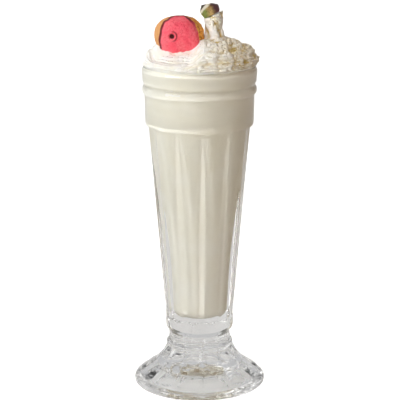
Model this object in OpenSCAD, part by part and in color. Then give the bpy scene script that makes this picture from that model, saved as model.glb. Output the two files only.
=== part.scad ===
// Vanilla milkshake in a footed, fluted soda glass, heaped with whipped cream
// and topped with a small iced doughnut and a piece of pistachio.
// Millimetres, +Z up, origin at the centre of the glass's foot.
// The doughnut's icing faces -Y, the side the drink is seen from.

/* [Glass] */
// height of the glass from the table to the rim
glass_h = 206; // [180:1:225]
// outer radius at the rim
rim_r = 36.1; // [34:0.1:39]
// outer radius of the foot
foot_r = 42.3; // [38:0.1:46]
// radius of the ridges at the foot of the bowl
bowl_low_r = 21.4; // [20:0.1:22.5]
// radius of the ridges at the top of the flutes
bowl_top_r = 32.1; // [31:0.1:33]
// number of flutes, and of petals round the foot
flutes = 12; // [10:1:14]
// height of the solid glass under the drink
floor_z = 46; // [40:1:60]
// radius of the drink's space at its floor
floor_r = 12.4; // [10:0.1:14]
// radius of the drink's space at the rim
mouth_r = 32.7; // [31.5:0.1:33]
// depth of the hollow under the foot
hollow_h = 9; // [3:0.5:10]

/* [Cream] */
// radius of the heap where it leaves the rim
heap_r = 36.4; // [34:0.1:38]
// height of the heap above the rim
heap_h = 17.5; // [12:0.5:22]
// radius of the peak
peak_r = 6.2; // [5:0.1:7]
// height of the peak above the heap
peak_h = 14.5; // [10:0.5:17]
// how far the peak stands to the right of the middle
peak_x = 8.4; // [6:0.2:10]
// how far the piped folds stand out
fold = 0.9; // [0.3:0.1:1.4]
// depth of the cream inside the rim
cream_in = 8; // [4:1:14]

/* [Toppings] */
// length of the small doughnut, side to side
bun_l = 31.2; // [26:0.2:34]
// radius of its dough, cut across
bun_r = 12; // [10:0.1:13]
// thickness of the icing
icing_t = 1; // [0.6:0.1:1.6]
// length of the nut piece
nut_l = 11.5; // [9:0.5:13]
// thickness of the nut piece
nut_w = 7; // [5:0.1:8]

/* [Hidden] */
$fn = 96;

sector = 360 / flutes;
// one ridge stands just to the right of the front
ridge_turn = -90 + 4;
flute_low = 45;
flute_top = glass_h - 37.4;
// flat between the edges of neighbouring flutes, as an angle
flute_land = 1.4;
half_turn = (sector - flute_land) / 2;
// a flute is a leaning cylinder: its radius, and how far its axis stands out at each end
flute_round = 44;
function flute_axis(r) = r * cos(half_turn) + sqrt(pow(flute_round, 2) - pow(r * sin(half_turn), 2));
axis_low = flute_axis(bowl_low_r);
axis_top = flute_axis(bowl_top_r);
axis_turn = atan((axis_top - axis_low) / (flute_top - flute_low));

lip_r = (rim_r - mouth_r) / 2;
drink_z = glass_h - cream_in;
bowl_h = glass_h - floor_z;
corner = 4.5;

heap_top = glass_h + heap_h;
peak_top = heap_top + peak_h;
bun_at = [-12.7, -2, glass_h + 20];
nut_at = [6.4, -0.8, peak_top + 3];
// slope of the nut's underside and of the peak's top
nut_tilt = 32;

// points on an arc round [cx, cz] from angle a to angle b
function arc(cx, cz, r, a, b, n) = [
    for (i = [0:n]) [cx + r * cos(a + (b - a) * i / n), cz + r * sin(a + (b - a) * i / n)]
];

// radius of the drink's space: slow near the floor and the rim, quick between
function cavity_u(z) = pow(max(0, (z - floor_z) / bowl_h), 1.3);
function cavity_r(z) = floor_r + (mouth_r - floor_r) * cavity_u(z) * cavity_u(z) * (3 - 2 * cavity_u(z));

// side of the drink's space from its floor to the lip
cavity_top = glass_h - (rim_r - mouth_r) / 2;
cavity_steps = 14;
cavity_side = concat(
    arc(cavity_r(floor_z + corner) - corner, floor_z + corner, corner, -90, 0, 4),
    [for (i = [1:cavity_steps])
        let (z = floor_z + corner + (cavity_top - floor_z - corner) * i / cavity_steps) [cavity_r(z), z]]
);

// outside of the glass from the flare, up over the knop and the bowl, to the lip
function outer_side() = concat(
    [
        [28.4, 13.2],
        [26.8, 14.9],
        [25.2, 17.6],
        [23.3, 21.2],
        [22, 23.6],
        [21, 25.8],
        [21.3, 26.7],
        [21.3, 27.3],
        [20.6, 28],
        [20, 29.6],
        [19.5, 32],
        [19.8, 34.2],
        [20.6, 36],
        [21.4, 37.4],
        [21.75, 39.4],
        [21.8, 42],
        [bowl_low_r, flute_low],
        [bowl_top_r, flute_top],
        [bowl_top_r + 1.3, flute_top + 2.4],
        [rim_r - 1.35, glass_h - 18],
        [rim_r - 1.3, glass_h - 14.6],
        [rim_r - 0.3, glass_h - 13.4],
        [rim_r - 0.1, glass_h - 12],
        [rim_r - 0.3, glass_h - 10.4],
        [rim_r - 0.75, glass_h - 9.2],
        [rim_r - 0.3, glass_h - 8],
        [rim_r - 0.55, glass_h - 6],
        [rim_r, glass_h - 4]
    ],
    arc(rim_r - lip_r, glass_h - lip_r, lip_r, 0, 180, 8)
);

// the drink's space, up to the lip
module cavity_half() {
    polygon(concat([[0, floor_z]], cavity_side, [[0, cavity_top]]));
}

// bowl, knop, neck and flare, hollow for the drink
module blank() {
    rotate_extrude() polygon(concat(
        [[0, floor_z], [0, 12], [28.4, 12]],
        outer_side(),
        [for (i = [len(cavity_side) - 2:-1:0]) cavity_side[i]]
    ));
}

// one long flute of the bowl, a leaning cylinder
module flute_cutter() {
    run = (flute_top - flute_low) / cos(axis_turn);
    lift = flute_round * sin(axis_turn);
    translate([axis_low, 0, flute_low]) rotate([0, axis_turn, 0]) translate([0, 0, -lift])
        cylinder(h = run, r = flute_round);
}

// one scoop between two petals, a ball that leaves an arched top
module scoop_cutter() {
    translate([33.2, 0, 26.2]) sphere(r = 12);
}

// round skirt of the foot, with its rolled edge
module skirt() {
    rotate_extrude() polygon(concat(
        [[0, 0], [foot_r - 2.3, 0]],
        arc(foot_r - 2.3, 2.3, 2.3, -60, 20, 4),
        [
            [foot_r - 0.7, 4.2],
            [foot_r - 2.3, 5.3],
            [foot_r - 4.3, 6.4],
            [foot_r - 7.3, 8.2],
            [30, 11.8],
            [28, 13.4],
            [20, 14.4],
            [0, 14.6]
        ]
    ));
}

// raised petals on the skirt, whose round ends make a scalloped line near the edge
module petals() {
    intersection() {
        rotate_extrude() polygon([
            [20, 8],
            [foot_r, 3],
            [foot_r - 2.4, 5.85],
            [foot_r - 4.4, 6.95],
            [foot_r - 7.4, 8.75],
            [30, 12.3],
            [27.6, 14.3],
            [24, 15.2],
            [20, 15.4]
        ]);
        linear_extrude(height = 30) for (k = [0:flutes - 1])
            rotate(ridge_turn + sector * (k + 0.5)) translate([24, 0]) circle(r = 14.6);
    }
}

module glass() {
    color([0.93, 0.96, 0.95, 0.5]) difference() {
        union() {
            difference() {
                blank();
                for (k = [0:flutes - 1]) rotate(ridge_turn + sector * (k + 0.5)) {
                    flute_cutter();
                    scoop_cutter();
                }
            }
            skirt();
            petals();
        }
        hollow_ball = (33 * 33 + hollow_h * hollow_h) / 2 / hollow_h;
        translate([0, 0, hollow_h - hollow_ball]) sphere(r = hollow_ball);
    }
}

module milkshake() {
    color([0.93, 0.91, 0.85]) rotate_extrude() intersection() {
        cavity_half();
        square([rim_r, drink_z]);
    }
}

// the heap is rings of points: inside the rim, up the dome, then up the peak
dome_rings = 14;
peak_rings = 7;
ring_pts = 60;
rings = 3 + dome_rings + peak_rings;
dome_low = 1.6;

function on_dome(i) = i > 2 && i < 3 + dome_rings;
function dome_t(i) = 80 * (i - 3) / (dome_rings - 1);
function part_up(i) = (i - 2 - dome_rings) / peak_rings;
function ring_radius(i) =
    i == 0 ? cavity_r(drink_z) - 0.12 :
    i == 1 ? mouth_r - 0.45 :
    i == 2 ? heap_r - 1.2 :
    on_dome(i) ? heap_r * pow(cos(dome_t(i)), 2 / 3.3) :
    peak_r * (1.25 - 0.25 * sin(180 * part_up(i)) - 0.35 * pow(part_up(i), 3));
function ring_height(i) =
    i == 0 ? drink_z :
    i < 3 ? glass_h + 0.02 :
    on_dome(i) ? glass_h + dome_low + (heap_h - dome_low) * sin(dome_t(i)) :
    heap_top + peak_h * part_up(i);
// the dome leans a little to the right, and its top slides out under the peak
function ring_shift(i) = i < 3 ? 0 : 1.2 + (peak_x - 1.2) * pow(min(1, (i - 3) / dome_rings), 3);
// folds turn as they climb, and small lumps ride on them
function lump(i, a) = i < 3 ? 0 :
    fold * (0.6 * sin(5 * a + 34 * i) + 0.4 * sin(9 * a - 47 * i) + 0.3 * sin(16 * a + 90 * i));
function heap_point(i, j) = let (
    a = 360 * j / ring_pts,
    r = ring_radius(i) + lump(i, a) * (on_dome(i) ? 1 : 0.5),
    up = i > 2 + dome_rings ? pow(part_up(i), 2) * tan(nut_tilt) : 0
) [
    ring_shift(i) + r * cos(a),
    r * sin(a),
    ring_height(i) + up * r * cos(a) + (i < 4 ? 0 : 0.8 * lump(i + 2, a + 20) * (on_dome(i) ? 1 : 0.3))
];

module heap() {
    top = rings * ring_pts;
    polyhedron(
        points = concat(
            [for (i = [0:rings - 1]) for (j = [0:ring_pts - 1]) heap_point(i, j)],
            [[peak_x, 0, peak_top + 0.6], [0, 0, drink_z]]
        ),
        faces = concat(
            [for (i = [0:rings - 2]) for (j = [0:ring_pts - 1])
                [i * ring_pts + j, (i + 1) * ring_pts + j, (i + 1) * ring_pts + (j + 1) % ring_pts]],
            [for (i = [0:rings - 2]) for (j = [0:ring_pts - 1])
                [i * ring_pts + j, (i + 1) * ring_pts + (j + 1) % ring_pts, i * ring_pts + (j + 1) % ring_pts]],
            [for (j = [0:ring_pts - 1]) [(rings - 1) * ring_pts + j, top, (rings - 1) * ring_pts + (j + 1) % ring_pts]],
            [for (j = [0:ring_pts - 1]) [j, (j + 1) % ring_pts, top + 1]]
        )
    );
}

// side of the dough from end to end, boxier than an oval, grown by extra
function bun_side(extra) = [
    for (i = [0:20]) let (t = 180 * i / 20)
        [
            max(0, (bun_r + extra) * pow(sin(t), 2 / 2.5)),
            -(bun_l / 2 + extra) * sign(cos(t)) * pow(abs(cos(t)), 2 / 2.5)
        ]
];

// dough that lies side to side, grown by extra
module bun(extra) {
    translate(bun_at) rotate([0, 90, 0]) rotate_extrude() polygon(bun_side(extra));
}

// small round pit in the icing, left of its middle
module pit(r, depth) {
    translate(bun_at + [-4.1, -bun_r - 10 + depth, 0.4]) rotate([90, 0, 0])
        translate([0, 0, -10]) cylinder(h = 20, r = r);
}

module doughnut() {
    color([0.85, 0.62, 0.4]) difference() {
        bun(0);
        pit(1.4, 2.4);
    }
}

// uneven edge of the icing, seen from the front
icing_half = bun_l / 2 - 3.3;
icing_edge = [
    for (k = [0:35]) let (a = 10 * k, w = 1 + 0.02 * sin(5 * a + 40) + 0.015 * sin(11 * a))
        [icing_half * w * cos(a), 4 / 3 * icing_half * w * sin(a) - 3.7]
];

module icing() {
    color([0.93, 0.38, 0.43]) difference() {
        intersection() {
            bun(icing_t);
            translate(bun_at + [0, 3, 0]) rotate([90, 0, 0]) linear_extrude(height = 30) polygon(icing_edge);
        }
        bun(0);
        pit(1.4, 2.4);
    }
}

// a broken slab of nut, thicker at its lower end
module pistachio() {
    color([0.62, 0.58, 0.4]) translate(nut_at) intersection() {
        rotate([90, 0, 0]) linear_extrude(height = nut_w, center = true) polygon(nut_l * [
            [-0.49, 0.15],
            [-0.32, -0.5],
            [0.22, -0.18],
            [0.48, 0],
            [0.38, 0.42],
            [-0.03, 0.35]
        ]);
        rotate([24, 12, 14]) cube([nut_l * 1.3, nut_w * 1.02, nut_w * 1.5], center = true);
    }
}

module whipped_cream() {
    color([0.97, 0.95, 0.9]) difference() {
        heap();
        bun(0);
        icing();
        pistachio();
    }
}

glass();
milkshake();
whipped_cream();
doughnut();
icing();
pistachio();
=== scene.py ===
import math

import bpy
import numpy as np
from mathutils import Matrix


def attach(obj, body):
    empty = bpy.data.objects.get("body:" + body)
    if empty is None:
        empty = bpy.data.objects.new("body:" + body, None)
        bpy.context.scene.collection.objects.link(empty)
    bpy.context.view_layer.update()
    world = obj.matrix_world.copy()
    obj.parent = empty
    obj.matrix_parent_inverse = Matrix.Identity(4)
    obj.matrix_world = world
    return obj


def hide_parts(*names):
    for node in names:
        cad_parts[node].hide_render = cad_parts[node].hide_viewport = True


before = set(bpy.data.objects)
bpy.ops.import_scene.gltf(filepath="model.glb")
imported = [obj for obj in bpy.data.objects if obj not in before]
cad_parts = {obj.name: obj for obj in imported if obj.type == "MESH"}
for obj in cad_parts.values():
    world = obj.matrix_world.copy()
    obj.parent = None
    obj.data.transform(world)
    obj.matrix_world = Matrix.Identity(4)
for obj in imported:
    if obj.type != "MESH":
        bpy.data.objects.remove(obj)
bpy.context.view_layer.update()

# Vanilla milkshake in a fluted soda glass. Shapes are worked out in millimetres,
# +Z up the glass, and turned into metres as each mesh is made.
mm = 0.001
scene = bpy.context.scene
scene.view_settings.view_transform = "Standard"
scene.cycles.blur_glossy = 0.05    # keeps the bright lines that the glass throws on the drink
scene.cycles.max_bounces = 20      # light goes to and fro many times inside the thick foot
scene.cycles.glossy_bounces = 9
scene.cycles.transmission_bounces = 20
print("frame loaded:", sorted(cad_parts))


# Small helpers for shapes.

# 0 at low, 1 at high, and three squares less two cubes of the share between them
def smoothStep(low, high, x):
    t = np.clip((x - low) / (high - low), 0, 1)
    return t * t * (3 - 2 * t)


# the smaller of two, with the corner between them rounded over about k
def softMin(a, b, k):
    h = np.clip(0.5 + 0.5 * (b - a) / k, 0, 1)
    return b + (a - b) * h - k * h * (1 - h)


# smooth random hills from -1 to 1: random heights on a cubic lattice of the given
# size, blended between the eight corners round each point with a smooth step; the
# seed picks the heights, so that each use has hills of its own
def hills(points, size, seed):
    table = np.random.default_rng(seed).random((32, 32, 32))
    p = points / size
    low = np.floor(p).astype(int)
    t = p - low
    t = t * t * (3 - 2 * t)
    total = 0
    for dx in (0, 1):
        for dy in (0, 1):
            for dz in (0, 1):
                share = (
                    (t[..., 0] if dx else 1 - t[..., 0])
                    * (t[..., 1] if dy else 1 - t[..., 1])
                    * (t[..., 2] if dz else 1 - t[..., 2])
                )
                total = total + share * table[
                    (low[..., 0] + dx) % 32, (low[..., 1] + dy) % 32, (low[..., 2] + dz) % 32
                ]
    return 2 * total - 1


# rounded crests with sharp valleys, 0 in a valley and 1 on a crest
def crests(points, size, seed):
    return np.sqrt(np.abs(hills(points, size, seed)))


# unit normals of a grid of points: the cross product of the steps round and up it
def gridNormals(points):
    across = np.roll(points, -1, axis=1) - np.roll(points, 1, axis=1)
    up = np.gradient(points, axis=0)
    normal = np.cross(across, up)
    return normal / np.maximum(np.linalg.norm(normal, axis=-1, keepdims=True), 1e-9)


# a closed skin over rows of points that each run once round; the first and the
# last row are drawn in to one point each
def ringMesh(name, points, deep=None):
    rows, cols = points.shape[:2]
    vertices = np.concatenate([
        points.reshape(-1, 3), points[0].mean(axis=0)[None], points[-1].mean(axis=0)[None]
    ]) * mm
    row, col = np.meshgrid(np.arange(rows - 1), np.arange(cols), indexing="ij")
    nextCol = (col + 1) % cols
    quads = np.stack([
        row * cols + col, row * cols + nextCol, (row + 1) * cols + nextCol, (row + 1) * cols + col
    ], axis=-1).reshape(-1, 4)
    around = np.arange(cols)
    onward = (around + 1) % cols
    low = np.stack([onward, around, np.full(cols, rows * cols)], axis=-1)
    last = (rows - 1) * cols
    high = np.stack([last + around, last + onward, np.full(cols, rows * cols + 1)], axis=-1)
    mesh = bpy.data.meshes.new(name)
    mesh.from_pydata(vertices.tolist(), [], quads.tolist() + low.tolist() + high.tolist())
    mesh.polygons.foreach_set("use_smooth", np.ones(len(mesh.polygons), dtype=bool))
    mesh.update()
    if deep is not None:    # painted shade, 0 to 1, for its material: how strongly each point is drawn in the shade colour
        values = np.concatenate([deep.ravel(), [0, 0]]).astype(np.float32)
        mesh.attributes.new("deep", "FLOAT", "POINT").data.foreach_set("value", values)
    piece = bpy.data.objects.new(name, mesh)
    scene.collection.objects.link(piece)
    return piece


# Small helpers for materials.

# wraps one output socket, so that shader maths is written as sums and products
class Wire:
    def __init__(self, paint, socket):
        self.paint = paint
        self.socket = socket

    def math(self, operation, first, second):
        return self.paint.node("ShaderNodeMath", {"operation": operation}, {0: first, 1: second})

    def __add__(self, other):
        return self.math("ADD", self, other)

    def __radd__(self, other):
        return self.math("ADD", other, self)

    def __sub__(self, other):
        return self.math("SUBTRACT", self, other)

    def __rsub__(self, other):
        return self.math("SUBTRACT", other, self)

    def __mul__(self, other):
        return self.math("MULTIPLY", self, other)

    def __rmul__(self, other):
        return self.math("MULTIPLY", other, self)

    def clamp(self):
        return self.paint.node("ShaderNodeClamp", {}, {0: self})


# one material (or world) and the nodes that are added to it
class Paint:
    def __init__(self, owner):
        self.owner = owner
        owner.use_nodes = True
        self.tree = owner.node_tree
        self.tree.nodes.clear()

    # any node: its settings first, then a value or a wire for each named or numbered socket
    def node(self, kind, settings, sockets, output=0):
        made = self.tree.nodes.new(kind)
        for key, value in settings.items():
            if key == "stops":
                ramp = made.color_ramp
                while len(ramp.elements) < len(value):
                    ramp.elements.new(0.5)
                for stop, (place, colour) in zip(ramp.elements, value):
                    stop.position = place
                    stop.color = colour
            else:
                setattr(made, key, value)
        for key, value in sockets.items():
            if isinstance(value, Wire):
                self.tree.links.new(value.socket, made.inputs[key])
            else:
                made.inputs[key].default_value = value
        return Wire(self, made.outputs[output])

    def place(self):
        return self.node("ShaderNodeTexCoord", {}, {}, "Object")

    def noise(self, scale, detail=2.0, rough=0.5):
        return self.node("ShaderNodeTexNoise", {}, {
            "Vector": self.place(), "Scale": scale, "Detail": detail, "Roughness": rough,
        })

    def cells(self, scale):
        return self.node("ShaderNodeTexVoronoi", {}, {"Vector": self.place(), "Scale": scale})

    def ramp(self, value, stops):
        return self.node("ShaderNodeValToRGB", {"stops": stops}, {0: value})

    def part(self, vector, axis):
        return self.node("ShaderNodeSeparateXYZ", {}, {0: vector}, axis)

    def vectorMath(self, operation, first, second):
        return self.node("ShaderNodeVectorMath", {"operation": operation}, {0: first, 1: second})

    # 0 at low, 1 at high, smooth between
    def band(self, value, low, high):
        return self.node("ShaderNodeMapRange", {"interpolation_type": "SMOOTHSTEP"}, {
            "Value": value, "From Min": low, "From Max": high,
        })

    def mix(self, share, first, second, blend="MIX"):
        settings = {"data_type": "RGBA", "blend_type": blend, "clamp_factor": blend == "MIX"}
        return self.node("ShaderNodeMix", settings, {0: share, 6: first, 7: second}, 2)

    def bump(self, height, strength, distance):
        return self.node("ShaderNodeBump", {}, {
            "Height": height, "Strength": strength, "Distance": distance,
        })

    def finish(self, shader, kind="ShaderNodeOutputMaterial"):
        end = self.tree.nodes.new(kind)
        self.tree.links.new(shader.socket, end.inputs["Surface"])
        return self.owner


# screen colour, 0 to 255, to the linear colour that a shader takes
def rgb(red, green, blue):
    share = [v / 255 for v in (red, green, blue)]
    return tuple(v / 12.92 if v <= 0.04045 else ((v + 0.055) / 1.055) ** 2.4 for v in share) + (1.0,)


def dress(piece, material, slot, *nodes):
    piece.data.materials.clear()
    piece.data.materials.append(material)
    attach(piece, "root")
    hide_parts(*nodes)


glassShape = {
    "height": 206.0,
    "rimR": 36.1,
    "mouthR": 32.7,
    "footR": 42.3,
    "flutes": 12,
    "firstRidge": -86.0,    # degrees; a ridge stands just right of the front
    "ridgeLow": 21.4,       # ridge radius where the flutes end over the knop
    "ridgeTop": 32.1,
    "fluteLow": 45.0,
    "fluteTop": 168.6,
    "fluteRound": 44.0,     # radius of a flute's hollow
    "ridgeSoft": 0.95,
    "floorZ": 46.0,
    "floorR": 12.4,
    "floorCorner": 4.5,
    "hollowR": 33.0,
    "hollowH": 9.0,
    "petalReach": 14.6,     # radius of a petal's round end, centred petalOut from the axis
    "petalOut": 24.0,
    "petalStep": 1.1,
    "petalBeyond": 22,      # petals only outside this radius, and under petalTop
    "petalTop": 18,
    "scoopDepth": 1.3,
    "scoopLow": 17.4,
    "scoopHigh": 25.9,
    "scoopArch": 2.4,       # the corners of a scoop's lower end rise by this
    "scoopWithin": 30,      # scoops only inside this radius
    "neckDepth": 0.8,
    "neckLow": 28.2,
    "neckHigh": 36.6,
    "neckWithin": 23,
    "footEdge": 2.3,        # radius of the foot's round edge
    # where a flute ends: over fluteTop or fluteLow at its ridges, then added in its middle
    "archTop": (-1.5, 1.6),
    "archLow": (1.6, -2.2),
    "endTop": 0.45,         # half the height over which a flute runs out, at each end
    "endLow": 0.7,
    "softness": 0.24,       # how far the mould rounds every corner
    "columns": 24,          # columns of points across one flute
    "rows": 320,
}

# how closely the rows of points stand along the outline of the glass
rowSpread = {
    "step": 0.08,           # even steps at which the outline is walked and blurred
    "everywhere": 0.28,
    "atBends": 3.2,
    "sharpest": 1.2,        # bends sharper than this get no more rows
    "bendReach": 12,        # steps
    "atFluteEnds": 2.2,
    "fluteEndReach": 1.3,
    "onFoot": 1.1,
    "foot": (4, 28),
}


# radius of the drink's space: slow near the floor and the rim, quick between
def cavityRadius(z):
    g = glassShape
    u = np.clip((z - g["floorZ"]) / (g["height"] - g["floorZ"]), 0, 1) ** 1.3
    return g["floorR"] + (g["mouthR"] - g["floorR"]) * u * u * (3 - 2 * u)


# points along part of a circle, by its middle, its radius and two angles in degrees
def arcPoints(centreR, centreZ, radius, fromDeg, toDeg, count):
    a = np.radians(np.linspace(fromDeg, toDeg, count))
    return np.stack([centreR + radius * np.cos(a), centreZ + radius * np.sin(a)], axis=-1)


# outline of the glass cut down its middle: under the foot, up the outside, over
# the lip and down the inside to the floor of the drink's space; and how many of its
# points lie on the outside, up to the middle of the lip
def glassOutline():
    g = glassShape
    ball = (g["hollowR"] ** 2 + g["hollowH"] ** 2) / 2 / g["hollowH"]
    rise = math.degrees(math.asin(g["hollowR"] / ball))
    under = arcPoints(0, g["hollowH"] - ball, ball, 90, 90 - rise, 16)
    foot, rim, top = g["footR"], g["rimR"], g["height"]
    soft = g["footEdge"]
    edge = arcPoints(foot - soft, soft, soft, -90, 20, 8)
    skirt = [(foot - 0.6, 4.1), (foot - 2.3, 5.3), (foot - 4.3, 6.5), (foot - 7.3, 8.3), (30.2, 11.7)]
    flare = [(28.2, 13.3), (26.8, 15), (25.2, 17.6), (23.3, 21.2), (22, 23.6), (21.1, 25.7)]
    collar = [(21.35, 26.6), (21.35, 27.4), (20.6, 28.1)]
    neck = [(20.0, 29.6), (19.5, 32), (19.8, 34.2), (20.6, 36)]
    knop = [(21.4, 37.3), (21.75, 39.4), (21.8, 42), (21.5, 44.4)]
    bowl = [(g["ridgeLow"], g["fluteLow"]), (g["ridgeTop"], g["fluteTop"])]
    shelf = [(rim - 2.9, g["fluteTop"] + 0.6), (rim - 2.1, g["fluteTop"] + 1.6)]
    smoothBand = [(rim - 1.9, g["fluteTop"] + 3.2), (rim - 1.6, top - 17)]
    lowBead = [
        (rim - 0.8, top - 16.4), (rim - 0.25, top - 15.5), (rim - 0.05, top - 14.2),
        (rim - 0.2, top - 12.9), (rim - 0.7, top - 11.7),
    ]
    valley = [(rim - 1.35, top - 10.9), (rim - 1.35, top - 10.3)]
    highBead = [(rim - 0.7, top - 9.5), (rim - 0.3, top - 8.4), (rim - 0.25, top - 6), (rim, top - 3.6)]
    outside = np.array(
        skirt + flare + collar + neck + knop + bowl + shelf + smoothBand + lowBead + valley + highBead
    )
    lip = (rim - g["mouthR"]) / 2
    over = arcPoints(rim - lip, top - lip, lip, 0, 180, 12)
    z = np.linspace(top - lip - 1, g["floorZ"] + g["floorCorner"], 60)
    inside = np.stack([cavityRadius(z), z], axis=-1)
    corner = g["floorCorner"]
    cornerZ = g["floorZ"] + corner
    low = arcPoints(cavityRadius(cornerZ) - corner, cornerZ, corner, 0, -90, 8)
    end = np.array([(0, g["floorZ"])])
    path = np.concatenate([under, edge, outside, over, inside, low, end])
    outsideLength = len(under) + len(edge) + len(outside) + 6
    return path, outsideLength


# walks an outline at even steps, blurs it to round its corners, then picks rows of
# it that stand closer together where it turns, at the ends of the flutes and on the foot
def softOutline(path, mark, softness, rows):
    w = rowSpread
    step = w["step"]
    length = np.concatenate([[0], np.cumsum(np.linalg.norm(np.diff(path, axis=0), axis=1))])
    markAt = length[mark]
    s = np.arange(0, length[-1], step)
    line = np.stack([np.interp(s, length, path[:, i]) for i in (0, 1)], axis=-1)
    reach = int(4 * softness / step)
    bell = np.exp(-0.5 * (np.arange(-reach, reach + 1) * step / softness) ** 2)
    bell /= bell.sum()
    before = 2 * line[0] - line[reach:0:-1]
    after = 2 * line[-1] - line[-2:-reach - 2:-1]
    padded = np.concatenate([before, line, after])
    line = np.stack([np.convolve(padded[:, i], bell, mode="valid") for i in (0, 1)], axis=-1)
    line[0, 0] = line[-1, 0] = 0
    heading = np.unwrap(np.arctan2(np.gradient(line[:, 1]), np.gradient(line[:, 0])))
    bend = np.abs(np.gradient(heading)) / step
    spread = np.exp(-0.5 * (np.arange(-30, 31) / w["bendReach"]) ** 2)
    bend = np.convolve(bend, spread / spread.sum(), mode="same")
    need = w["everywhere"] + w["atBends"] * np.minimum(bend, w["sharpest"])
    onOutside = s < markAt
    for z in (glassShape["fluteLow"], glassShape["fluteTop"]):
        near = np.exp(-0.5 * ((line[:, 1] - z) / w["fluteEndReach"]) ** 2)
        need += w["atFluteEnds"] * onOutside * near
    need += w["onFoot"] * onOutside * (line[:, 1] > w["foot"][0]) * (line[:, 1] < w["foot"][1])
    total = np.concatenate([[0], np.cumsum((need[1:] + need[:-1]) / 2)])
    pick = np.interp(np.linspace(0, total[-1], rows), total, s)
    r, z = (np.interp(pick, s, line[:, i]) for i in (0, 1))
    return r, z, pick < markAt


# the outline turned round the axis, with the flutes, the scoops, the neck's facets and
# the petals pressed into it panel by panel; share runs from -1 to 1 across a panel
def glassPoints():
    g = glassShape
    path, mark = glassOutline()
    r, z, outside = softOutline(path, mark, g["softness"], g["rows"])
    sector = 360 / g["flutes"]
    u = np.arange(g["columns"]) / g["columns"] * 2 - 1
    phi = sector / 2 * (0.45 * u + 0.55 * np.sin(u * math.pi / 2))    # closer at the ridges
    turn = g["firstRidge"] + sector / 2 + sector * np.arange(g["flutes"])
    theta = np.radians((turn[:, None] + phi[None, :]).ravel())
    phi = np.radians(np.tile(phi, g["flutes"]))
    r, z, outside = r[:, None], z[:, None], outside[:, None]
    share = phi[None, :] / math.radians(sector / 2)

    # a flute is a leaning cylinder outside the bowl: the wall moves in to its near
    # side, and the ridge where it meets its neighbour is rounded
    half = math.radians(sector / 2)

    def axisAt(ridge):
        return ridge * math.cos(half) + math.sqrt(g["fluteRound"] ** 2 - (ridge * math.sin(half)) ** 2)

    spare = 0.2    # the rounding takes about this off a ridge
    low, high = axisAt(g["ridgeLow"] + spare), axisAt(g["ridgeTop"] + spare)
    axis = low + (high - low) * (z - g["fluteLow"]) / (g["fluteTop"] - g["fluteLow"])

    def nearSide(turned):
        return axis * np.cos(turned) - np.sqrt(g["fluteRound"] ** 2 - (axis * np.sin(turned)) ** 2)

    fluted = softMin(nearSide(phi), nearSide(2 * half - np.abs(phi)), g["ridgeSoft"])
    arch = 1 - share ** 2
    topEnd = g["fluteTop"] + g["archTop"][0] + g["archTop"][1] * arch
    lowEnd = g["fluteLow"] + g["archLow"][0] + g["archLow"][1] * arch
    amount = smoothStep(-g["endTop"], g["endTop"], topEnd - z) * outside
    amount = amount * smoothStep(-g["endLow"], g["endLow"], z - lowEnd)
    wall = r + (fluted - r) * amount

    # scoops between the collar and the petals: hollow across each panel, with an
    # arched lower end whose corners rise to the ridges
    inward = np.array([-0.9, -0.42])    # square to the flare
    lowCut = g["scoopLow"] + g["scoopArch"] * share ** 2
    push = g["scoopDepth"] * (1 - 0.95 * share ** 4) * outside * (r < g["scoopWithin"])
    push = push * smoothStep(-0.3, 0.5, z - lowCut) * smoothStep(0.0, -0.8, z - g["scoopHigh"])
    # shallow facets round the neck
    neck = smoothStep(g["neckLow"], g["neckLow"] + 1, z) * smoothStep(g["neckHigh"], g["neckHigh"] - 1.2, z)
    neck = neck * outside * (r < g["neckWithin"])
    push = push + g["neckDepth"] * (1 - share ** 4) * neck
    wall = wall + push * inward[0]
    height = z + push * inward[1]

    # petals stand a little proud of the skirt and end in round lobes near its edge
    ahead, aside = r * np.cos(phi) - g["petalOut"], r * np.sin(phi)
    inLobe = g["petalReach"] - np.sqrt(ahead ** 2 + aside ** 2)
    onSkirt = outside * (z > 2.5) * smoothStep(g["petalTop"], g["petalTop"] - 4, z) * (r > g["petalBeyond"])
    lift = g["petalStep"] * smoothStep(-0.25, 0.25, inLobe) * (1 - 0.75 * np.abs(share) ** 5) * onSkirt
    height = height + lift
    return np.stack([wall * np.cos(theta), wall * np.sin(theta), height + 0 * wall], axis=-1)


def glassPaint():
    paint = Paint(bpy.data.materials.new("pressedGlass"))
    swell = paint.noise(70, detail=1.5)
    shader = paint.node("ShaderNodeBsdfPrincipled", {}, {
        "Base Color": (0.985, 0.992, 0.988, 1),
        "Roughness": 0.012,
        "IOR": 1.52,
        "Transmission Weight": 1.0,
        "Normal": paint.bump(swell, 0.1, 0.0006),
    })
    return paint.finish(shader)


glassPiece = ringMesh("soda_glass", glassPoints())
dress(glassPiece, glassPaint(), "clear_glass", "glass")
print("glass made:", len(glassPiece.data.polygons), "faces")


drink = {
    "top": 205.0,
    "intoWall": 0.35,
    "columns": 96,
    "rows": 70,
}


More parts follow.
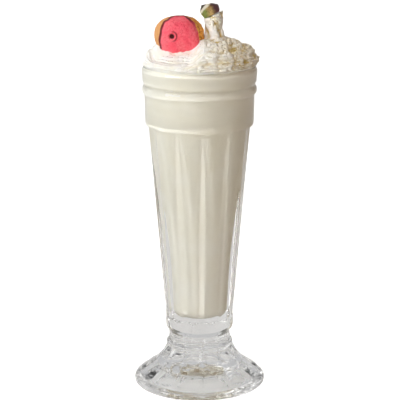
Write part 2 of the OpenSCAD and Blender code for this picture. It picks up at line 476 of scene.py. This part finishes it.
# the drink's space turned round the axis, grown a little into the wall so that no
# air shows between them, with a flat floor and a flat lid
def drinkPoints():
    d, g = drink, glassShape
    corner, low = g["floorCorner"], g["floorZ"] - d["intoWall"]
    edge = float(cavityRadius(g["floorZ"] + corner)) - corner
    turned = arcPoints(edge, g["floorZ"] + corner, corner + d["intoWall"], -90, 0, 12)
    z = np.linspace(g["floorZ"] + corner, d["top"], d["rows"])[1:]
    side = np.stack([cavityRadius(z) + d["intoWall"], z], axis=-1)
    base = np.stack([np.linspace(0.5, edge, 6)[:-1], np.full(5, low)], axis=-1)
    lid = np.stack([np.linspace(side[-1, 0], 1, 6)[1:], np.full(5, d["top"])], axis=-1)
    path = np.concatenate([base, turned, side, lid])
    theta = np.linspace(0, 2 * math.pi, d["columns"], endpoint=False)
    return np.stack([
        path[:, :1] * np.cos(theta), path[:, :1] * np.sin(theta), path[:, 1:] + 0 * theta
    ], axis=-1)


def drinkPaint():
    paint = Paint(bpy.data.materials.new("vanillaMilkshake"))
    cloud = paint.noise(45, detail=3)
    froth = paint.cells(900)
    colour = paint.mix(paint.band(cloud, 0.35, 0.65), rgb(252, 250, 241), rgb(250, 247, 235))
    colour = paint.mix(paint.band(froth, 0.3, 0.1) * 0.1, colour, rgb(252, 249, 240))
    shader = paint.node("ShaderNodeBsdfPrincipled", {}, {
        "Base Color": colour,
        "Roughness": 0.7,
        "Specular IOR Level": 0.0,
    })
    return paint.finish(shader)


drinkPiece = ringMesh("vanilla_milkshake", drinkPoints())
dress(drinkPiece, drinkPaint(), "milkshake", "milkshake")
print("drink made")


creamShape = {
    "rimZ": 206.0,
    "radius": 35.4,
    "height": 17.5,        # top of the dome over the rim
    "boxy": 3.3,           # how square the dome is, cut down its middle
    "rightward": 1.3,
    "tuck": -14,           # degrees; the dome starts this far under its widest ring
    "sweep": 103.5,        # degrees from there to the middle
    "turns": 3.4,          # turns of the piped rope from the rim to the middle
    "ropeDepth": 1.3,
    "ribs": 0.28,
    "lumps": (1.2, 7.5),   # how far they stand out, and how wide they are
    "small": (1.5, 3.0),
    "tiny": (1.0, 1.3),
    "roughShadedSide": -15,      # degrees; the cream is roughest on this side, and its painted shade is strongest there
    # radius and height of the rings that tuck down inside the rim
    "insideRim": [(30.0, 198.0), (31.5, 198.2), (32.0, 200), (32.3, 203), (32.9, 205.6)],
    # the dent in front of the doughnut: how deep, and where it starts and is full
    "dent": 7.2,
    "dentRight": (3.5, -7),
    "dentLeft": (-36, -28),
    "dentBack": (-5, -13),
    "dentLow": (207, 221),
    "columns": 420,
    "rows": 210,
}


# the dome's rings: up inside the rim, over the lip, then a boxy dome, whose radius is
# the cosine of the angle to a power under 1; a piped rope winds up it as the sine of
# its turns, and the lumps on it grow rougher to the right
def creamPoints():
    c = creamShape
    theta = np.linspace(0, 2 * math.pi, c["columns"], endpoint=False)[None, :]
    inside = np.array(c["insideRim"])
    rowsIn = len(inside)
    t = np.linspace(0, 1, c["rows"] - rowsIn)
    a = np.radians(c["tuck"] + c["sweep"] * t ** 0.92)
    r = c["radius"] * np.maximum(np.cos(a), 0.004) ** (2 / c["boxy"])
    widest = 2.8    # the widest ring's height over the rim
    z = c["rimZ"] + widest + np.where(a < 0, 9.0, c["height"] - widest) * np.sin(a)
    r = np.concatenate([inside[:, 0], r])[:, None]
    z = np.concatenate([inside[:, 1], z])[:, None]
    t = np.concatenate([np.zeros(rowsIn), t])[:, None]
    over = smoothStep(0.0, 0.06, t)
    right = c["rightward"] * smoothStep(0.02, 0.3, t) * (1 - 0.3 * t)
    points = np.stack([r * np.cos(theta) + right, r * np.sin(theta), z + 0 * theta], axis=-1)
    normal = gridNormals(points)
    fullSide = 0.5 + 0.5 * np.cos(theta - math.radians(c["roughShadedSide"]))

    warp = hills(points, 13, 3)[..., None] * np.array([2.2, 2.2, 2.6])
    rope = c["turns"] * t - theta / (2 * math.pi) + 0.16 * hills(points, 9, 4)
    crease = np.abs(np.sin(math.pi * rope))
    ropeOut = (crease ** 0.6 - 0.6) * c["ropeDepth"]
    ribs = c["ribs"] * np.sin(2 * math.pi * 3 * rope + 2 * hills(points, 6, 6))
    rough = 0.25 + 0.95 * fullSide ** 1.3
    lumps = c["lumps"][0] * (crests(points + warp, c["lumps"][1], 5) - 0.55)
    small = c["small"][0] * (crests(points + 0.6 * warp, c["small"][1], 7) - 0.6)
    tiny = c["tiny"][0] * (crests(points, c["tiny"][1], 8) - 0.55)
    out = ropeOut * (1.1 - 0.5 * fullSide) + ribs + rough * (lumps + small + tiny)
    # painted shade: creases are drawn darker and yellower, most on the rough right side, and that shaded
    # side is drawn yellower all over
    deep = np.clip(-(ropeOut * 0.5 + rough * (0.5 * lumps + small + tiny)), 0, 1)
    deep = deep * (0.12 + 0.9 * fullSide ** 3) + 0.2 * fullSide ** 3
    fade = over * smoothStep(0.0, 0.1, 1.01 - t)
    points = points + normal * (out * fade)[..., None]
    # pressed down in front of the doughnut, so that its face shows
    x, y, z = points[..., 0], points[..., 1], points[..., 2]
    inFront = smoothStep(*c["dentRight"], x) * smoothStep(*c["dentLeft"], x) * smoothStep(*c["dentBack"], y)
    points[..., 2] = z - c["dent"] * inFront * smoothStep(*c["dentLow"], z)
    return points, deep * fade


peakShape = {
    "x": 8.6,
    "y": -0.8,
    "low": 219.0,
    "high": 238.2,
    "radius": 6.1,
    "boxy": 3.2,
    "shoulder": 0.86,      # share of the rows that climb; the rest close the top
    "slant": 0.4,
    "folds": 4,
    "twist": 1.2,
    "columns": 220,
    "rows": 140,
}


# the peak: a squarish leaning column, with four folds wound round it and a slanted
# top; its radius is a boxy ring, shrunk where two folds meet
def peakPoints():
    p = peakShape
    theta = np.linspace(0, 2 * math.pi, p["columns"], endpoint=False)[None, :]
    t = np.linspace(0, 1, p["rows"])[:, None]
    shoulder = p["shoulder"]
    up = np.minimum(t / shoulder, 1)
    cap = np.maximum(1 - ((t - shoulder) / (1 - shoulder)).clip(0, 1) ** 3, 0.0005) ** (1 / 3)
    fold = np.abs(np.sin(p["folds"] / 2 * (theta + 2 * math.pi * p["twist"] * up / p["folds"])))
    # a squarish block, wider at its foot, creased where its folds meet
    turned, boxy = theta + 0.5, p["boxy"]
    square = (np.abs(np.cos(turned)) ** boxy + np.abs(np.sin(turned)) ** boxy) ** (-1 / boxy)
    r = p["radius"] * (1.36 - 0.44 * smoothStep(0, 0.42, up) + 0.05 * np.sin(9 * up)) * cap * square
    r = r * (0.72 + 0.27 * fold ** 0.6)
    z = p["low"] + (p["high"] - p["low"]) * (up - 0.05 * (1 - cap))
    x = p["x"] + 0.8 * (1 - up) + r * np.cos(theta)
    y = p["y"] + 0.95 * r * np.sin(theta)
    z = z + p["slant"] * (x - p["x"]) * up ** 2
    points = np.stack([x, y, z], axis=-1)
    out = 1.2 * (crests(points, 4.2, 11) - 0.5) + 0.7 * (crests(points, 2.0, 12) - 0.5)
    fade = smoothStep(0, 0.08, 1.0 - t)
    # painted shade: the folds and the hollows between lumps drawn darker and yellower
    deep = np.clip((0.55 - fold) * 1.3 - out * 0.9 + 0.1, 0, 1) * fade
    return points + gridNormals(points) * (out * fade)[..., None], deep


def creamPaint():
    paint = Paint(bpy.data.materials.new("whippedCream"))
    grain = paint.noise(900, detail=4, rough=0.6)
    pores = paint.cells(1400)
    tone = paint.noise(120, detail=3)
    colour = paint.mix(paint.band(tone, 0.3, 0.7), rgb(250, 249, 245), rgb(246, 243, 233))
    # painted shade: creases and the shaded right side drawn darker and yellower
    deep = paint.node("ShaderNodeAttribute", {"attribute_name": "deep"}, {}, "Fac")
    colour = paint.mix(deep, colour, rgb(208, 184, 108))
    shader = paint.node("ShaderNodeBsdfPrincipled", {}, {
        "Base Color": colour,
        "Roughness": 0.55,
        "Specular IOR Level": 0.3,
        "Subsurface Weight": 0.25,
        "Subsurface Radius": (1.0, 0.9, 0.75),
        "Subsurface Scale": 0.0009,
        "Normal": paint.bump(grain + pores * 0.5, 0.35, 0.0003),
    })
    return paint.finish(shader)


creamMaterial = creamPaint()
creamPiece = ringMesh("whipped_cream_heap", *creamPoints())
dress(creamPiece, creamMaterial, "cream", "whipped_cream")
peakPiece = ringMesh("whipped_cream_peak", *peakPoints())
dress(peakPiece, creamMaterial, "cream", "whipped_cream")
print("cream made")


bunShape = {
    "centre": (-12.7, -2.0, 226.0),
    "half": (15.6, 11.9, 12.0),
    "square": (2.25, 2.25),      # how boxy it is side to side, and cut across
    "pitDeep": 2.4,              # sunk under the icing's pit
    "pitWide": (2.6, 1.4),
    "columns": 200,
    "rows": 160,
}


# the size of a value raised to a power, with its sign kept
def powerCurve(value, power):
    return np.sign(value) * np.abs(value) ** power


# a boxy oval with its poles at left and right: the sine and cosine of the ordinary
# ball are raised to a power under 1, which squares it
def bunSkin(t, a):
    b = bunShape
    half = b["half"]
    side, across = 2 / b["square"][0], 2 / b["square"][1]
    radius = np.sin(t) ** side
    x = -half[0] * powerCurve(np.cos(t), side)
    y = half[1] * radius * powerCurve(np.cos(a), across)
    z = half[2] * radius * powerCurve(np.sin(a), across)
    return np.stack([x + 0 * y, y, z], axis=-1)


# the boxy oval, sunk under the icing's pit and rougher at its bare right end
def bunPoints():
    b = bunShape
    t = np.linspace(0.02, math.pi - 0.02, b["rows"])[:, None]
    a = np.linspace(0, 2 * math.pi, b["columns"], endpoint=False)[None, :]
    points = bunSkin(t, a)
    normal = gridNormals(points)
    rightSide = smoothStep(2, 12, points[..., 0])
    pitX, pitZ = icingShape["pit"]
    away = np.sqrt((points[..., 0] - pitX) ** 2 + (points[..., 2] - pitZ) ** 2)
    sunk = b["pitDeep"] * smoothStep(*b["pitWide"], away) * (points[..., 1] < 0)
    out = 0.25 * hills(points, 6, 21) - sunk
    out = out + (0.12 + 0.6 * rightSide) * (crests(points, 1.7, 22) - 0.6)
    out = out + (0.05 + 0.45 * rightSide) * hills(points, 0.8, 23)
    return points + normal * (out - 0.25)[..., None] + np.array(b["centre"])


def bunPaint():
    paint = Paint(bpy.data.materials.new("friedDough"))
    place = paint.place()
    across = paint.part(place, "X")
    centreX = bunShape["centre"][0] * mm
    crumb = paint.noise(520, detail=4, rough=0.65)
    baked = paint.noise(130, detail=3)
    # painted light and shade: the dough is drawn paler on the lit left and deeper orange on the shaded
    # right, with random browning from the baked noise
    toRight = paint.band(across, centreX - 0.004, centreX + 0.012)
    browningAndShade = (toRight * 0.75 + baked * 0.5 - 0.2).clamp()
    colour = paint.mix(browningAndShade, rgb(224, 162, 102), rgb(250, 182, 74))
    # dark crumb marks, laid more thickly on the shaded right as painted shade
    crumbAndShade = paint.band(crumb, 0.46, 0.62) * (0.2 + toRight * 0.5)
    colour = paint.mix(crumbAndShade, colour, rgb(164, 84, 26))
    shader = paint.node("ShaderNodeBsdfPrincipled", {}, {
        "Base Color": colour,
        "Roughness": 0.62,
        "Subsurface Weight": 0.1,
        "Subsurface Radius": (1.0, 0.5, 0.25),
        "Subsurface Scale": 0.0012,
        "Normal": paint.bump(crumb, 0.5, 0.0004),
    })
    return paint.finish(shader)


icingShape = {
    "half": (12.2, 16.0),      # oval seen from the front
    "drop": 3.7,               # its middle lies this far under the dough's
    "thick": 1.05,
    "pit": (-4.1, 0.4),        # from the dough's middle, across and up
    "pitR": 1.5,
    "pitLip": 2.9,
    "pitDeep": 2.3,
    "pitShade": (1.7, 1.2),     # painted shade in the pit: the colour darkens from the one radius in to the other
    "lipUp": 0.55,
    "shadeCrescent": (0.6, 0.1),    # half the width of the painted shade crescent beside the pit, and of its core
    "turnUnder": 0.22,         # share of the rows that lie under the icing
    "columns": 220,
    "rows": 130,
}


# the icing laid flat: an oval with a wavy edge, boxier in its lower half; rows run
# under it from its middle to the edge, then back over its face
def icingFlat():
    i = icingShape
    a = np.linspace(0, 2 * math.pi, i["columns"], endpoint=False)[None, :]
    t = np.linspace(0, 1, i["rows"])[:, None]
    wave = 1 + 0.022 * np.sin(5 * a + 0.7) + 0.016 * np.sin(11 * a) + 0.01 * np.sin(19 * a + 1)
    part = i["turnUnder"]
    under = t < part
    reach = np.where(under, t / part, (1 - t) / (1 - part))
    reach = np.sin(reach * math.pi / 2) ** 0.9
    squarer = np.where(np.sin(a) < 0, 0.6, 0.9)    # boxier where it sinks in the cream
    x = i["half"][0] * wave * reach * powerCurve(np.cos(a), squarer)
    z = i["half"][1] * wave * reach * np.sin(a) - i["drop"]
    return x, z, reach, under, a


# the icing laid on the dough: a place's height becomes an angle round the boxy oval,
# and it is lifted off the dough there, square to it, by the thickness
def icingPoints():
    i, b = icingShape, bunShape
    x, z, reach, under, a = icingFlat()
    half = np.array(b["half"])
    side, across = b["square"]
    girth = np.maximum(1 - np.abs(x / half[0]) ** side, 0.02) ** (1 / side)
    # over the top and under the bottom the icing wraps round instead of ending
    up = np.clip(z / (half[2] * girth), -1.35, 1.35)
    angle = up * math.pi / 2 * 0.86
    y = -half[1] * girth * powerCurve(np.cos(angle), 2 / across)
    z = half[2] * girth * powerCurve(np.sin(angle), 2 / across)
    points = np.stack([x, y, z], axis=-1)
    normal = np.stack([
        powerCurve(x / half[0], side - 1) / half[0],
        powerCurve(y / half[1], across - 1) / half[1],
        powerCurve(z / half[2], across - 1) / half[2],
    ], axis=-1)
    normal = normal / np.linalg.norm(normal, axis=-1, keepdims=True)
    lip = np.clip(1 - reach ** 9, 0, 1) ** 0.5
    out = i["thick"] * lip
    away = np.sqrt((x - i["pit"][0]) ** 2 + (z - i["pit"][1]) ** 2)
    away = away * (1 + 0.08 * hills(points, 1.6, 33))
    ringUp = i["lipUp"] * np.exp(-0.5 * ((away - i["pitLip"] * 0.75) / 0.5) ** 2)
    hole = -i["pitDeep"] * smoothStep(i["pitR"] + 0.25, i["pitR"] - 0.6, away)
    grain = 0.26 * hills(points, 1.3, 31) + 0.34 * (crests(points, 0.8, 32) - 0.5)
    out = out + (ringUp + hole + grain + 0.25 * hills(points, 7, 34)) * lip
    out = np.where(under, -0.9, out)    # the underside lies in the dough
    # painted shade of the crease between icing and dough: the edge is drawn dark red all along its left and
    # top, faintly elsewhere
    leftAndTop = smoothStep(0.25, -0.5, -np.cos(a - 2.2))
    deep = smoothStep(0.83, 0.9, reach) * (0.15 + 0.85 * leftAndTop)
    return points + normal * out[..., None] + np.array(b["centre"]), deep


def icingPaint():
    paint = Paint(bpy.data.materials.new("pinkIcing"))
    grain = paint.noise(1100, detail=3, rough=0.6)
    patch = paint.noise(160, detail=2)
    colour = paint.mix(paint.band(patch, 0.35, 0.65), rgb(255, 96, 116), rgb(255, 118, 132))
    colour = paint.mix(paint.band(grain, 0.48, 0.6) * 0.55, colour, rgb(240, 60, 82))
    # painted shade in the crease round the icing's edge
    deep = paint.node("ShaderNodeAttribute", {"attribute_name": "deep"}, {}, "Fac")
    colour = paint.mix(deep, colour, rgb(112, 22, 24))
    # how far a place is from the middle of the pit, seen from the front
    middleX, middleY, middleZ = bunShape["centre"]
    pitX, pitZ = icingShape["pit"]
    pitAt = ((middleX + pitX) * mm, middleY * mm, (middleZ + pitZ) * mm)
    flat = paint.vectorMath("MULTIPLY", paint.vectorMath("SUBTRACT", paint.place(), pitAt), (1, 0, 1))
    away = paint.node("ShaderNodeVectorMath", {"operation": "LENGTH"}, {0: flat}, "Value")
    # painted shade: a darker crescent beside it, on the shaded right of its lip
    offRim = away - icingShape["pitLip"] * mm + (patch - 0.5) * 0.0012
    toRight = paint.band(paint.part(flat, "X"), -0.001, 0.002)
    wide, core = (v * mm for v in icingShape["shadeCrescent"])
    shadeCrescent = paint.band(offRim * offRim, wide ** 2, core ** 2) * toRight
    colour = paint.mix(shadeCrescent * 0.8, colour, rgb(150, 30, 40))
    # painted shade down in the pit
    wide, core = (v * mm for v in icingShape["pitShade"])
    colour = paint.mix(paint.band(away, wide, core), colour, rgb(84, 26, 22))
    shader = paint.node("ShaderNodeBsdfPrincipled", {}, {
        "Base Color": colour,
        "Roughness": 0.5,
        "Specular IOR Level": 0.35,
        "Subsurface Weight": 0.15,
        "Subsurface Radius": (1.0, 0.35, 0.35),
        "Subsurface Scale": 0.001,
        "Normal": paint.bump(grain, 0.6, 0.0003),
    })
    return paint.finish(shader)


bunPiece = ringMesh("small_doughnut", bunPoints())
dress(bunPiece, bunPaint(), "dough", "doughnut")
icingPiece = ringMesh("pink_icing", *icingPoints())
dress(icingPiece, icingPaint(), "pink_icing", "icing")
print("doughnut and icing made")


nutShape = {
    "centre": (6.2, -0.8, 240.9),
    "stretch": (1.1, 1.0, 1.08),
    # faces of the broken piece: the way each one looks, and how far out it stands
    "faces": [
        (-0.96, -0.1, 0.26, 5.0), (0.93, -0.15, 0.33, 5.2), (-0.25, 0.1, 0.96, 3.9),
        (0.2, -0.1, 0.97, 3.9), (0.52, 0.05, -0.85, 3.1), (0.45, -0.2, -0.87, 3.3),
        (-0.05, -0.99, 0.05, 3.0), (0.3, -0.9, 0.3, 3.1), (-0.4, -0.85, -0.3, 3.3),
        (0.1, 0.99, 0.0, 3.2), (-0.3, 0.9, 0.35, 3.3), (-0.8, 0.0, -0.6, 5.2),
    ],
    "sharp": 40,    # higher is crisper edges
    # where each colour starts and is full: to the right of the middle
    "tan": (-3.5, 0.0),
    "skin": (1.0, 3.5),
    # and up to the left of it: the painted highlight, then a thin dark band
    "paintedHighlight": (2.2, 3.1),
    "darkEdge": (4.0, 4.5),
    "columns": 120,
    "rows": 90,
}


# in each direction from its middle the nut reaches to the nearest of its faces, with
# the edges between them rounded by averaging over the near ones
def nutPoints():
    n = nutShape
    t = np.linspace(0.02, math.pi - 0.02, n["rows"])[:, None]
    a = np.linspace(0, 2 * math.pi, n["columns"], endpoint=False)[None, :]
    way = np.stack([np.sin(t) * np.cos(a), np.sin(t) * np.sin(a), -np.cos(t) + 0 * a], axis=-1)
    faces = np.array(n["faces"])
    looks = faces[:, :3] / np.linalg.norm(faces[:, :3], axis=1, keepdims=True)
    closeness = np.maximum(way @ looks.T, 1e-3) / faces[:, 3]
    reach = 1 / (closeness ** n["sharp"]).sum(axis=-1) ** (1 / n["sharp"])
    points = way * reach[..., None] * np.array(n["stretch"])
    out = 0.16 * hills(points, 2.2, 41) + 0.14 * (crests(points, 1.1, 42) - 0.5)
    return points + way * out[..., None] + np.array(n["centre"])


def nutPaint():
    paint = Paint(bpy.data.materials.new("pistachio"))
    local = paint.vectorMath("SUBTRACT", paint.place(), tuple(v * mm for v in nutShape["centre"]))

    def towards(way):
        return paint.node("ShaderNodeVectorMath", {"operation": "DOT_PRODUCT"}, {0: local, 1: way}, "Value")

    def zone(along, name):
        low, high = nutShape[name]
        return paint.band(along, low * mm, high * mm)

    # green flesh on the left, then tan, then purple skin on the right
    toRight = towards((0.85, 0.0, 0.5))
    fleck = paint.noise(700, detail=4, rough=0.65)
    patch = paint.noise(260, detail=2)
    along = toRight + (patch - 0.5) * 0.004
    colour = paint.mix(zone(along, "tan"), rgb(128, 142, 70), rgb(190, 158, 96))
    colour = paint.mix(zone(along, "skin"), colour, rgb(82, 44, 52))
    colour = paint.mix(paint.band(fleck, 0.5, 0.66) * 0.6, colour, rgb(84, 58, 30))
    # painted highlight: a pale patch at the upper left, with a thin dark band beyond it at the nut's
    # upper-left end
    upLeft = towards((-0.78, 0.0, 0.62))
    paintedHighlight = zone(upLeft + (patch - 0.5) * 0.002, "paintedHighlight")
    colour = paint.mix(paintedHighlight, colour, rgb(226, 222, 204))
    darkEdge = zone(upLeft + (fleck - 0.5) * 0.001, "darkEdge")
    colour = paint.mix(darkEdge, colour, rgb(70, 62, 44))
    shader = paint.node("ShaderNodeBsdfPrincipled", {}, {
        "Base Color": colour,
        "Roughness": 0.45,
        "Normal": paint.bump(fleck, 0.5, 0.0003),
    })
    return paint.finish(shader)


nutPiece = ringMesh("pistachio_piece", nutPoints())
dress(nutPiece, nutPaint(), "nut", "pistachio")
print("nut made")


# metres here, since the room is far larger than the glass
studio = {
    "floorHalf": 6.0,
    "floorZ": -0.0002,          # just under the foot
    "floorWhite": 0.8,          # glow and matt share of the floor as the camera sees it
    "floorMatt": 0.72,
    "floorGlow": 0.38,          # the same as the glass shows it
    "floorThrough": 0.45,
    "floorBounce": (0.27, 0.25, 0.22),    # its glow on what is matt
    "keyPower": 7.6,
    "keyAt": (-1.05, -0.75, 0.42),
    "keySize": (0.8, 0.8),
    "keyColour": (1, 0.99, 0.97),
    "aimZ": 0.13,
    "roomStops": [0.0, 0.3, 0.7, 1.0],
    # the room's brightness from left to right, as it lights the drink and as the glass shows it
    "roomLight": [(1.18, 1.27, 1.38), (0.93, 0.96, 0.98), (0.41, 0.25, 0.09), (0.17, 0.06, 0.01)],
    "roomSeen": [(0.80, 0.80, 0.81), (0.54, 0.54, 0.55), (0.54, 0.54, 0.55), (0.80, 0.79, 0.78)],
    # a tall bright strip behind the camera, with a window in it, brightest at windowHigh
    "stripAt": 0.0,
    "stripWidth": 0.075,
    "stripPower": 3.5,
    "windowPower": 15.0,
    "windowHigh": 0.42,
    "windowReach": 0.16,
    "roofDim": 0.45,            # how much darker the room is overhead
    "cardAt": 0.66,
    "cardWidth": 0.2,
    "cardGrey": (0.1, 0.1, 0.1),
}


# how far the light has come: seen straight on, and after lighting something matt
def lightPath(paint):
    direct = paint.node("ShaderNodeLightPath", {}, {}, "Is Camera Ray")
    matt = paint.node("ShaderNodeLightPath", {}, {}, "Diffuse Depth").clamp()
    return direct, matt


# a pale floor: white to the camera, greyer through the glass, dim as it lights what is matt
def floorPiece():
    half, z = studio["floorHalf"], studio["floorZ"]
    mesh = bpy.data.meshes.new("floor")
    corners = [(-half, -half, z), (half, -half, z), (half, half, z), (-half, half, z)]
    mesh.from_pydata(corners, [], [(0, 1, 2, 3)])
    piece = bpy.data.objects.new("floor", mesh)
    scene.collection.objects.link(piece)
    paint = Paint(bpy.data.materials.new("paleFloor"))
    direct, matt = lightPath(paint)

    def grey(kind, value):
        return paint.node(kind, {}, {"Color": (value, value, value, 1)})

    def paper(dull, glow):
        return paint.node("ShaderNodeAddShader", {}, {
            0: grey("ShaderNodeBsdfDiffuse", dull), 1: grey("ShaderNodeEmission", glow),
        })

    white = paper(studio["floorMatt"], studio["floorWhite"])
    through = paper(studio["floorThrough"], studio["floorGlow"])
    bounce = paint.node("ShaderNodeEmission", {}, {"Color": studio["floorBounce"] + (1,)})
    other = paint.node("ShaderNodeMixShader", {}, {0: matt, 1: through, 2: bounce})
    shader = paint.node("ShaderNodeMixShader", {}, {0: direct, 1: other, 2: white})
    mesh.materials.append(paint.finish(shader))


def areaLight(name, power, at, size, colour):
    light = bpy.data.lights.new(name, "AREA")
    light.shape = "RECTANGLE"
    light.energy = power
    light.color = colour
    light.size, light.size_y = size
    lamp = bpy.data.objects.new(name, light)
    scene.collection.objects.link(lamp)
    lamp.location = at
    aim = np.array([0, 0, studio["aimZ"]]) - np.array(at)
    flat = math.hypot(aim[0], aim[1])
    lamp.rotation_euler = (math.pi / 2 + math.atan2(aim[2], flat), 0, math.atan2(-aim[0], aim[1]))


def studioWorld():
    world = bpy.data.worlds.new("studio")
    scene.world = world
    paint = Paint(world)
    way = paint.node("ShaderNodeTexCoord", {}, {}, "Generated")
    across = paint.part(way, "X")
    away = paint.part(way, "Y")
    high = paint.part(way, "Z")
    level = across * 0.5 + 0.5
    lit, seen = (
        paint.ramp(level, [(at, colour + (1,)) for at, colour in zip(studio["roomStops"], studio[key])])
        for key in ("roomLight", "roomSeen")
    )
    # a dark card on each side draws thin dark lines in the glass
    side = across * across - studio["cardAt"] ** 2
    card = paint.band(side * side, studio["cardWidth"] ** 2, (studio["cardWidth"] / 2) ** 2)
    seen = paint.mix(card, seen, studio["cardGrey"] + (1,))
    # the strip: near the middle from left to right, and only in front
    width = studio["stripWidth"]
    off = across - studio["stripAt"]
    strip = paint.band(off * off, width ** 2, (width / 2) ** 2) * paint.band(away, 0.0, -0.3)
    above = high - studio["windowHigh"]
    reach = studio["windowReach"]
    window = paint.band(above * above, reach ** 2, (reach / 2) ** 2) * studio["windowPower"]
    lit = paint.mix(strip * (window + studio["stripPower"]), lit, (1, 1, 1, 1), "ADD")
    lit = paint.mix(paint.band(high, 0.15, 0.85) * studio["roofDim"], lit, (0, 0, 0, 1))
    direct, matt = lightPath(paint)
    colour = paint.mix(direct, paint.mix(matt, seen, lit), (1, 1, 1, 1))
    light = paint.node("ShaderNodeBackground", {}, {0: colour, 1: 1.0})
    paint.finish(light, "ShaderNodeOutputWorld")


# the camera's place in metres, its lens and sensor in millimetres
view = {
    "lens": 132.75,
    "sensor": 36,
    "at": (0.0003, -0.913, 0.340),
    "down": 13.53,    # degrees; how far it looks down
}


def cameraView():
    camera = bpy.data.cameras.new("view")
    camera.lens = view["lens"]
    camera.sensor_width = view["sensor"]
    camera.clip_start = 0.01
    camera.clip_end = 50
    holder = bpy.data.objects.new("view", camera)
    scene.collection.objects.link(holder)
    holder.location = view["at"]
    holder.rotation_euler = (math.radians(90 - view["down"]), 0, 0)
    scene.camera = holder


floorPiece()
areaLight("key", studio["keyPower"], studio["keyAt"], studio["keySize"], studio["keyColour"])
studioWorld()
cameraView()
print("studio made")
